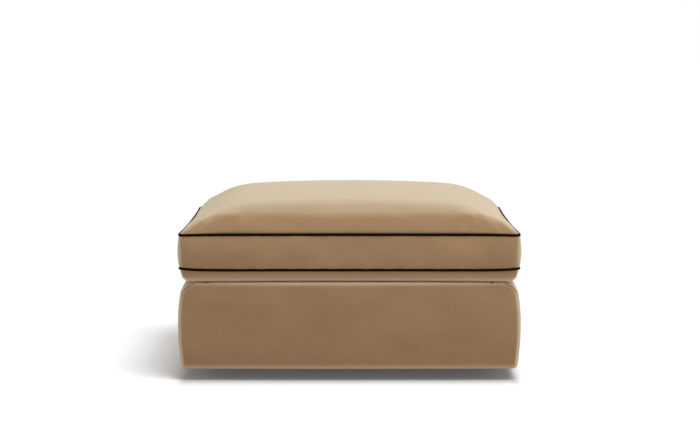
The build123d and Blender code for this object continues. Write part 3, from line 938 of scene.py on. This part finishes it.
def plump(obj, held, sizes):
    """Blows the cloth up a little between the points that the seams hold."""
    rest = [vertex.co.copy() for vertex in obj.data.vertices]
    group = obj.vertex_groups.new(name="held")
    group.add(held, 1.0, "REPLACE")
    cloth = obj.modifiers.new("Plump", "CLOTH")
    settings = cloth.settings
    settings.quality = 6
    settings.mass = 0.4
    settings.tension_stiffness = settings.compression_stiffness = 18
    settings.shear_stiffness = 8
    settings.bending_stiffness = 1.2
    settings.use_pressure = True
    settings.uniform_pressure_force = sizes.pressure
    settings.shrink_min = settings.shrink_max = -0.012
    settings.vertex_group_mass = "held"
    settings.effector_weights.gravity = 0
    scene = bpy.context.scene
    cloth.point_cache.frame_start, cloth.point_cache.frame_end = 1, SIMULATED_FRAMES
    for number in range(1, SIMULATED_FRAMES + 1):
        scene.frame_set(number)
    shaped = obj.evaluated_get(bpy.context.evaluated_depsgraph_get())
    moved = [vertex.co.copy() for vertex in shaped.data.vertices]
    obj.modifiers.remove(cloth)
    scene.frame_set(1)
    for vertex, start, end in zip(obj.data.vertices, rest, moved):
        step = end - start
        if step.length > sizes.swell_limit:
            step *= sizes.swell_limit / step.length
        if start.z > LOWER_SEAM - CREASED_BELOW:
            vertex.co = start + step
    obj.vertex_groups.clear()


class OTTOMAN_OT_make_cushion(bpy.types.Operator):
    """Makes the crowned box cushion, its boxing with the zip's opening and its piping"""

    bl_idname = "ottoman.make_cushion"
    bl_label = "Make the cushion"

    def execute(self, context):
        sizes = context.scene.ottoman_cushion
        low = Vector((-SEAM_X, -SEAM_Y, LOWER_SEAM))
        high = Vector((SEAM_X, SEAM_Y, UPPER_SEAM))
        window = ZIP_WINDOW / 2
        near = sizes.seam_tuck
        inner, outer = BOXING_ROWS
        rows = [ZIP_MIDDLE + step for step in (-outer, -inner, -window, window, inner, outer)]
        rows += [low.z + near, high.z - near]
        columns = spread(low.x, high.x, 64, 0.5)
        columns = [place for place in columns if abs(abs(place) - ZIP_HIGH.x) > 0.004]
        cuts = (
            columns + [ZIP_LOW.x, ZIP_HIGH.x, low.x + near, high.x - near],
            spread(low.y, high.y, 46, 0.5) + [low.y + near, high.y - near],
            rows,
        )
        shell = grid_box("cushion_shell", low, high, cuts)
        for _ in (TOP, BOXING, BOTTOM, ZIP_UPPER, ZIP_LOWER, ZIP_GAP):
            shell.data.materials.append(None)
        for face in shell.data.polygons:
            face.material_index = cushion_panel(face)
        held = self.held_points(shell, low, high)
        self.crease_seams(shell, held)
        for vertex in shell.data.vertices:
            vertex.co = cushion_point(vertex.co, sizes)
        plump(shell, held, sizes)
        self.soften_crown(shell, sizes)
        self.soften_boxing(shell)
        subdivide_smoothly(shell, 1)
        shade_smooth(shell)
        self.paint_belly_sheen(shell)
        self.sew_welts(shell, sizes)
        self.part_panels(shell)
        return {"FINISHED"}

    def paint_belly_sheen(self, shell):
        """Paints sheen on the belly, stronger further down, down to where it rests on the deck."""
        turn = shell.data.attributes.new("edge_sheen_mask", "FLOAT", "POINT")
        for vertex in shell.data.vertices:
            under = clamp((LOWER_SEAM - vertex.co.z) / (LOWER_SEAM - BELLY_BOTTOM))
            resting = clamp((under - RESTING_START) / RESTING_WIDTH)
            turn.data[vertex.index].value = BELLY_PAINTED_SHEEN * under**2 * (1 - resting)

    def held_points(self, shell, low, high):
        """Points on the piped seams and round the zip."""
        held = []
        for vertex in shell.data.vertices:
            x, y, z = vertex.co
            rim = abs(abs(x) - high.x) < ON_SEAM or abs(abs(y) - high.y) < ON_SEAM
            level = abs(z - low.z) < ON_SEAM or abs(z - high.z) < ON_SEAM
            by_zip = (
                abs(y - high.y) < ON_SEAM
                and abs(x) < ZIP_HIGH.x + 0.002
                and abs(z - ZIP_MIDDLE) < ZIP_WINDOW
            )
            if (rim and level) or by_zip:
                held.append(vertex.index)
        return held

    def crease_seams(self, shell, held):
        """Keeps the piped seams where they are when the shell is smoothed."""
        start_selection(shell, "EDGE")
        points = set(held)
        for edge in shell.data.edges:
            ends = [shell.data.vertices[number].co for number in edge.vertices]
            level = abs(ends[0].z - ends[1].z) < ON_SEAM
            height = ends[0].z
            on_seam = min(abs(height - LOWER_SEAM), abs(height - UPPER_SEAM)) < ON_SEAM
            edge.select = points.issuperset(edge.vertices) and level and on_seam
        edit_selection(bpy.ops.transform.edge_crease, value=1)

    def soften_crown(self, shell, sizes):
        """Rounds the line where the crown's slopes meet its middle."""
        start_selection(shell, "VERT")
        slope_edge = CROWN_EDGE_SHARE * sizes.crown_front_slope
        for vertex in shell.data.vertices:
            edge = min(SEAM_X - abs(vertex.co.x), SEAM_Y - abs(vertex.co.y))
            vertex.select = vertex.co.z > UPPER_SEAM and edge > slope_edge
        edit_selection(bpy.ops.mesh.vertices_smooth, factor=0.5, repeat=CROWN_SOFTENING)

    def soften_boxing(self, shell):
        """Evens out the boxing between its seams, but not at the zip."""
        start_selection(shell, "VERT")
        low, high = LOWER_SEAM + BOXING_MARGIN, UPPER_SEAM - BOXING_MARGIN
        for vertex in shell.data.vertices:
            between = low < vertex.co.z < high
            vertex.select = between and vertex.co.y < SEAM_Y - BOXING_MARGIN
        edit_selection(bpy.ops.mesh.vertices_smooth, factor=0.5, repeat=BOXING_SOFTENING)

    def sew_welts(self, shell, sizes):
        """Lays a round cord on each seam, taken from the seam's own edges."""
        colour = tuple(bpy.context.scene.ottoman_colours.welt)
        cord = plain("piping_cloth", colour, 0.95, grain=900.0, bump=0.3, gloss=0.02)
        for name, panel in (("upper_welt", TOP), ("lower_welt", BOTTOM)):
            select_slot(shell, panel)
            bpy.ops.mesh.region_to_loop()
            bpy.ops.mesh.duplicate()
            seam = part_selection(shell)
            pick(seam)
            seam.data.materials.clear()
            bpy.ops.object.convert(target="CURVE")
            seam.data.bevel_depth = sizes.welt_diameter / 2
            seam.data.bevel_resolution = 3
            bpy.ops.object.convert(target="MESH")
            welt = bpy.context.object
            welt.name = welt.data.name = name + "_cord"
            welt.data.materials.clear()
            welt.data.materials.append(cord)
            shade_smooth(welt)
            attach(welt, "cushion")
            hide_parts(name)

    def part_panels(self, shell):
        """Parts the shell into its panels and leaves the zip's opening."""
        cloth = velvet("cushion_velvet", 1.0, False)
        panels = (
            (BOTTOM, "cushion_underside", ("cushion_bottom_panel", "cushion_fibre_bottom")),
            (BOXING, "boxing_strip", ("front_boxing", "cushion_core")),
            (ZIP_UPPER, "zip_strip_upper", ("rear_boxing_upper",)),
            (ZIP_LOWER, "zip_strip_lower", ("rear_boxing_lower",)),
            (TOP, "cushion_top", ("cushion_top_panel", "cushion_fibre_top")),
        )
        bpy.data.objects.remove(part_off(shell, ZIP_GAP))
        for number, name, nodes in panels:
            panel = shell if number == TOP else part_off(shell, number)
            finish_panel(panel, name, cloth)
            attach(panel, "cushion")
            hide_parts(*nodes)


# Zip at the rear

TOOTH_PITCH = 0.0016
TOOTH_SHARE = 0.62
TOOTH_BEVEL = 0.0002


class OTTOMAN_OT_fit_zip(bpy.types.Operator):
    """Finishes the zip's tapes, coils, slider and pull"""

    bl_idname = "ottoman.fit_zip"
    bl_label = "Fit the zip"

    def execute(self, context):
        tape = plain("zip_tape_cloth", (0.20, 0.13, 0.075), 0.9, grain=900.0, bump=0.3)
        nylon = plain("zip_nylon", (0.19, 0.12, 0.07), 0.45, grain=300.0, bump=0.05)
        metal = plain("zip_painted_metal", (0.19, 0.12, 0.07), 0.35, grain=200.0, bump=0.02)
        dress(tape, "zip_tape_upper", "zip_tape_lower")
        dress(metal, "zip_slider", "zip_pull", "zip_stops")
        for name in ("zip_coil_upper", "zip_coil_lower"):
            self.cut_teeth(name, nylon)
        return {"FINISHED"}

    def cut_teeth(self, node, nylon):
        """One tooth, bevelled, then repeated along the tape."""
        low, high = (Vector(corner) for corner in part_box(node))
        width = TOOTH_PITCH * TOOTH_SHARE
        bpy.ops.object.select_all(action="DESELECT")
        middle = (low + high) / 2
        middle.x = low.x + width / 2
        bpy.ops.mesh.primitive_cube_add(
            size=1, location=middle, scale=(width, high.y - low.y, high.z - low.z)
        )
        teeth = bpy.context.object
        teeth.name = teeth.data.name = node.replace("coil", "teeth")
        bpy.ops.object.transform_apply(location=True, rotation=True, scale=True)
        edge = teeth.modifiers.new("Edge", "BEVEL")
        edge.width = TOOTH_BEVEL
        edge.segments = 1
        row = teeth.modifiers.new("Row", "ARRAY")
        row.use_relative_offset = False
        row.use_constant_offset = True
        row.constant_offset_displace = (TOOTH_PITCH, 0, 0)
        row.count = int((high.x - low.x - width) / TOOTH_PITCH) + 1
        apply_modifiers(teeth)
        teeth.data.materials.append(nylon)
        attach(teeth, "cushion")
        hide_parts(node)


# Frame, webbing, underside and feet


class OTTOMAN_OT_finish_frame(bpy.types.Operator):
    """Finishes the hardwood frame, its boards, the webbing and the felt"""

    bl_idname = "ottoman.finish_frame"
    bl_label = "Finish the frame"

    def execute(self, context):
        wood = plain("hardwood", (0.50, 0.33, 0.17), 0.6, grain=30.0, grain_stretch=(0.15, 2, 2))
        board = plain("fibreboard", (0.36, 0.25, 0.14), 0.8, grain=240.0)
        jute = plain("jute_webbing", (0.42, 0.31, 0.17), 0.9, grain=500.0, bump=0.4)
        felt = plain("needled_felt", (0.16, 0.14, 0.13), 0.95, grain=300.0, bump=0.4)
        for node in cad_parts:
            if node.endswith(("_rail", "_batten")) or node.startswith("corner_post"):
                dress(wood, node)
            elif node.endswith("_board"):
                dress(board, node)
        dress(wood, "centre_stretcher", "glue_blocks")
        dress(jute, "long_webbing", "cross_webbing")
        dress(felt, "insulator_pad")
        return {"FINISHED"}


class OTTOMAN_OT_finish_underside(bpy.types.Operator):
    """Finishes the dust cover, the feet, the glides and the bolts"""

    bl_idname = "ottoman.finish_underside"
    bl_label = "Finish the underside"

    def execute(self, context):
        dust = plain("dust_cloth", (0.022, 0.021, 0.021), 0.95, grain=700.0, bump=0.3)
        black = plain("foot_plastic", (0.012, 0.011, 0.010), 0.45, grain=200.0, bump=0.05)
        nylon = plain("glide_nylon", (0.55, 0.53, 0.49), 0.5, grain=200.0, bump=0.05)
        steel = plain("bolt_steel", (0.55, 0.55, 0.54), 0.35, 1.0, grain=200.0, bump=0.05)
        dress(dust, "dust_cover")
        dress(black, "foot_front_left", "foot_front_right", "foot_rear_left", "foot_rear_right")
        dress(nylon, "foot_glides")
        dress(steel, "foot_bolts")
        return {"FINISHED"}


# Stage

AIM = (0, 0, 0.3)
OVERHEAD_PLACE = (1.7, -1.9, 6.3)
FRONT_PLACE = (0.8, -4.8, 1.1)
SIDE_PLACES = {"left_softbox": (-4.2, -1.2, 1.4), "right_softbox": (4.2, -1.2, 1.4)}
FLOOR_SIZE = 60
FLOOR_GREY = (0.76, 0.76, 0.76)
FADE_START = 0.75  # the floor turns plain white between these distances from its middle
FADE_END = 1.6
CONTACT_REACH = 0.06  # how fast the shade beside the ottoman fades to the front
CONTACT_SIDE_RATE = 3  # and how many times faster it fades at the sides
CONTACT_INSET = 0.02
CONTACT_SHADE = 0.5


class OTTOMAN_OT_set_stage(bpy.types.Operator):
    """Sets the pale floor, the soft lights and the camera"""

    bl_idname = "ottoman.set_stage"
    bl_label = "Set the stage"

    def execute(self, context):
        self.lay_floor()
        self.light_world(context)
        self.hang_lamp("overhead_softbox", OVERHEAD_PLACE, size=3.8, power=505)
        self.hang_lamp("front_softbox", FRONT_PLACE, size=2.0, power=34)
        for name, place in SIDE_PLACES.items():
            self.hang_lamp(name, place, size=2.4, power=60)
        self.aim_camera(context)
        return {"FINISHED"}

    def lay_floor(self):
        """A pale floor that keeps the shadow and turns plain white further out."""
        bpy.ops.object.select_all(action="DESELECT")
        bpy.ops.mesh.primitive_plane_add(size=FLOOR_SIZE)
        floor = bpy.context.object
        floor.name = floor.data.name = "floor"
        material, shader = new_material("pale_floor")
        nodes, links = material.node_tree.nodes, material.node_tree.links
        shader.inputs["Roughness"].default_value = 1.0
        shader.inputs["Specular IOR Level"].default_value = 0.0
        place = nodes.new("ShaderNodeTexCoord")
        reach = nodes.new("ShaderNodeVectorMath")
        reach.operation = "LENGTH"
        fade = nodes.new("ShaderNodeMapRange")
        fade.interpolation_type = "SMOOTHSTEP"
        fade.inputs["From Min"].default_value = FADE_START
        fade.inputs["From Max"].default_value = FADE_END
        path = nodes.new("ShaderNodeLightPath")
        seen = nodes.new("ShaderNodeMath")
        seen.operation = "MULTIPLY"
        white = nodes.new("ShaderNodeEmission")
        white.inputs["Color"].default_value = WHITE
        white.inputs["Strength"].default_value = 1.02
        lift = nodes.new("ShaderNodeEmission")
        lift.inputs["Color"].default_value = WHITE
        lift.inputs["Strength"].default_value = 0.08
        near = nodes.new("ShaderNodeAddShader")
        viewed = nodes.new("ShaderNodeMixShader")
        floor_mix = nodes.new("ShaderNodeMixShader")
        output = next(node for node in nodes if node.type == "OUTPUT_MATERIAL")
        contact = self.contact_shade(nodes, links, place.outputs["Object"])
        tone = nodes.new("ShaderNodeVectorMath")
        tone.operation = "SCALE"
        tone.inputs[0].default_value = FLOOR_GREY
        links.new(contact, tone.inputs["Scale"])
        links.new(tone.outputs["Vector"], shader.inputs["Base Color"])
        links.new(place.outputs["Object"], reach.inputs[0])
        links.new(reach.outputs["Value"], fade.inputs["Value"])
        links.new(fade.outputs["Result"], seen.inputs[0])
        links.new(path.outputs["Is Camera Ray"], seen.inputs[1])
        links.new(shader.outputs[0], near.inputs[0])
        links.new(lift.outputs[0], near.inputs[1])
        links.new(path.outputs["Is Camera Ray"], viewed.inputs[0])
        links.new(shader.outputs[0], viewed.inputs[1])
        links.new(near.outputs[0], viewed.inputs[2])
        links.new(seen.outputs["Value"], floor_mix.inputs[0])
        links.new(viewed.outputs[0], floor_mix.inputs[1])
        links.new(white.outputs[0], floor_mix.inputs[2])
        links.new(floor_mix.outputs[0], output.inputs["Surface"])
        floor.data.materials.append(material)

    def contact_shade(self, nodes, links, place):
        """How much darker the floor is close to the ottoman's outline."""
        steps = (
            ("ABSOLUTE", None),
            ("SUBTRACT", (BASE_HALF.x - CONTACT_INSET, BASE_HALF.y, 0)),
            ("MAXIMUM", (0, 0, 0)),
            ("MULTIPLY", (CONTACT_SIDE_RATE, 1, 0)),
            ("LENGTH", None),
        )
        for operation, value in steps:
            step = nodes.new("ShaderNodeVectorMath")
            step.operation = operation
            if value:
                step.inputs[1].default_value = value
            links.new(place, step.inputs[0])
            place = step.outputs[0]
        distance = step.outputs["Value"]
        decay = nodes.new("ShaderNodeMath")
        decay.operation = "MULTIPLY"
        decay.inputs[1].default_value = -1 / CONTACT_REACH
        links.new(distance, decay.inputs[0])
        dark = nodes.new("ShaderNodeMath")
        dark.operation = "EXPONENT"
        links.new(decay.outputs[0], dark.inputs[0])
        shade = nodes.new("ShaderNodeMapRange")
        shade.inputs["To Min"].default_value = 1.0
        shade.inputs["To Max"].default_value = CONTACT_SHADE
        links.new(dark.outputs[0], shade.inputs["Value"])
        return shade.outputs["Result"]

    def light_world(self, context):
        """A soft room light, and plain white where the camera or a reflection sees the room."""
        world = bpy.data.worlds.new("pale_studio")
        context.scene.world = world
        world.use_nodes = True
        nodes, links = world.node_tree.nodes, world.node_tree.links
        nodes.clear()
        output = nodes.new("ShaderNodeOutputWorld")
        room = nodes.new("ShaderNodeBackground")
        room.inputs["Color"].default_value = WHITE
        room.inputs["Strength"].default_value = 0.4
        white = nodes.new("ShaderNodeBackground")
        white.inputs["Color"].default_value = WHITE
        white.inputs["Strength"].default_value = 1.0
        path = nodes.new("ShaderNodeLightPath")
        either = nodes.new("ShaderNodeMath")
        either.operation = "MAXIMUM"
        also = nodes.new("ShaderNodeMath")
        also.operation = "MAXIMUM"
        mix = nodes.new("ShaderNodeMixShader")
        links.new(path.outputs["Is Camera Ray"], either.inputs[0])
        links.new(path.outputs["Is Glossy Ray"], either.inputs[1])
        links.new(either.outputs[0], also.inputs[0])
        links.new(path.outputs["Is Transmission Ray"], also.inputs[1])
        links.new(also.outputs[0], mix.inputs[0])
        links.new(room.outputs[0], mix.inputs[1])
        links.new(white.outputs[0], mix.inputs[2])
        links.new(mix.outputs[0], output.inputs["Surface"])

    def hang_lamp(self, name, place, size, power):
        """Hangs a square softbox that points at the ottoman."""
        bpy.ops.object.select_all(action="DESELECT")
        aim = (Vector(AIM) - Vector(place)).to_track_quat("-Z", "Y").to_euler()
        bpy.ops.object.light_add(type="AREA", location=place, rotation=aim)
        lamp = bpy.context.object
        lamp.name = name
        lamp.data.shape = "SQUARE"
        lamp.data.size = size
        lamp.data.energy = power

    def aim_camera(self, context):
        """Puts the camera at the photograph's viewing angle."""
        stage = context.scene.ottoman_stage
        context.scene.view_settings.view_transform = "Standard"
        bpy.ops.object.select_all(action="DESELECT")
        bpy.ops.object.camera_add(
            location=(stage.camera_side, stage.camera_front, stage.camera_height),
            rotation=(math.pi / 2 - stage.camera_pitch, 0, 0),
        )
        camera = bpy.context.object
        camera.name = "camera"
        camera.data.lens = stage.lens
        camera.data.sensor_width = 36
        context.scene.camera = camera


class OTTOMAN_PT_sidebar(bpy.types.Panel):
    """Lists the ottoman's pieces and sizes"""

    bl_idname = "OTTOMAN_PT_sidebar"
    bl_label = "Ottoman"
    bl_space_type = "VIEW_3D"
    bl_region_type = "UI"
    bl_category = "Ottoman"

    def draw(self, context):
        layout = self.layout
        for operator in OPERATORS:
            layout.operator(operator.bl_idname)
        for name, group in SETTINGS:
            box = layout.box()
            for field in group.__annotations__:
                box.prop(getattr(context.scene, name), field)


OPERATORS = (
    OTTOMAN_OT_upholster_base,
    OTTOMAN_OT_make_cushion,
    OTTOMAN_OT_fit_zip,
    OTTOMAN_OT_finish_frame,
    OTTOMAN_OT_finish_underside,
    OTTOMAN_OT_set_stage,
)


def register():
    for name, group in SETTINGS:
        bpy.utils.register_class(group)
        setattr(bpy.types.Scene, name, PointerProperty(type=group))
    for item in (*OPERATORS, OTTOMAN_PT_sidebar):
        bpy.utils.register_class(item)


def unregister():
    for item in reversed((*OPERATORS, OTTOMAN_PT_sidebar)):
        bpy.utils.unregister_class(item)
    for name, group in reversed(SETTINGS):
        delattr(bpy.types.Scene, name)
        bpy.utils.unregister_class(group)


def main():
    register()
    bpy.ops.ottoman.upholster_base()
    bpy.ops.ottoman.make_cushion()
    bpy.ops.ottoman.fit_zip()
    bpy.ops.ottoman.finish_frame()
    bpy.ops.ottoman.finish_underside()
    bpy.ops.ottoman.set_stage()


if __name__ == "__main__":
    main()
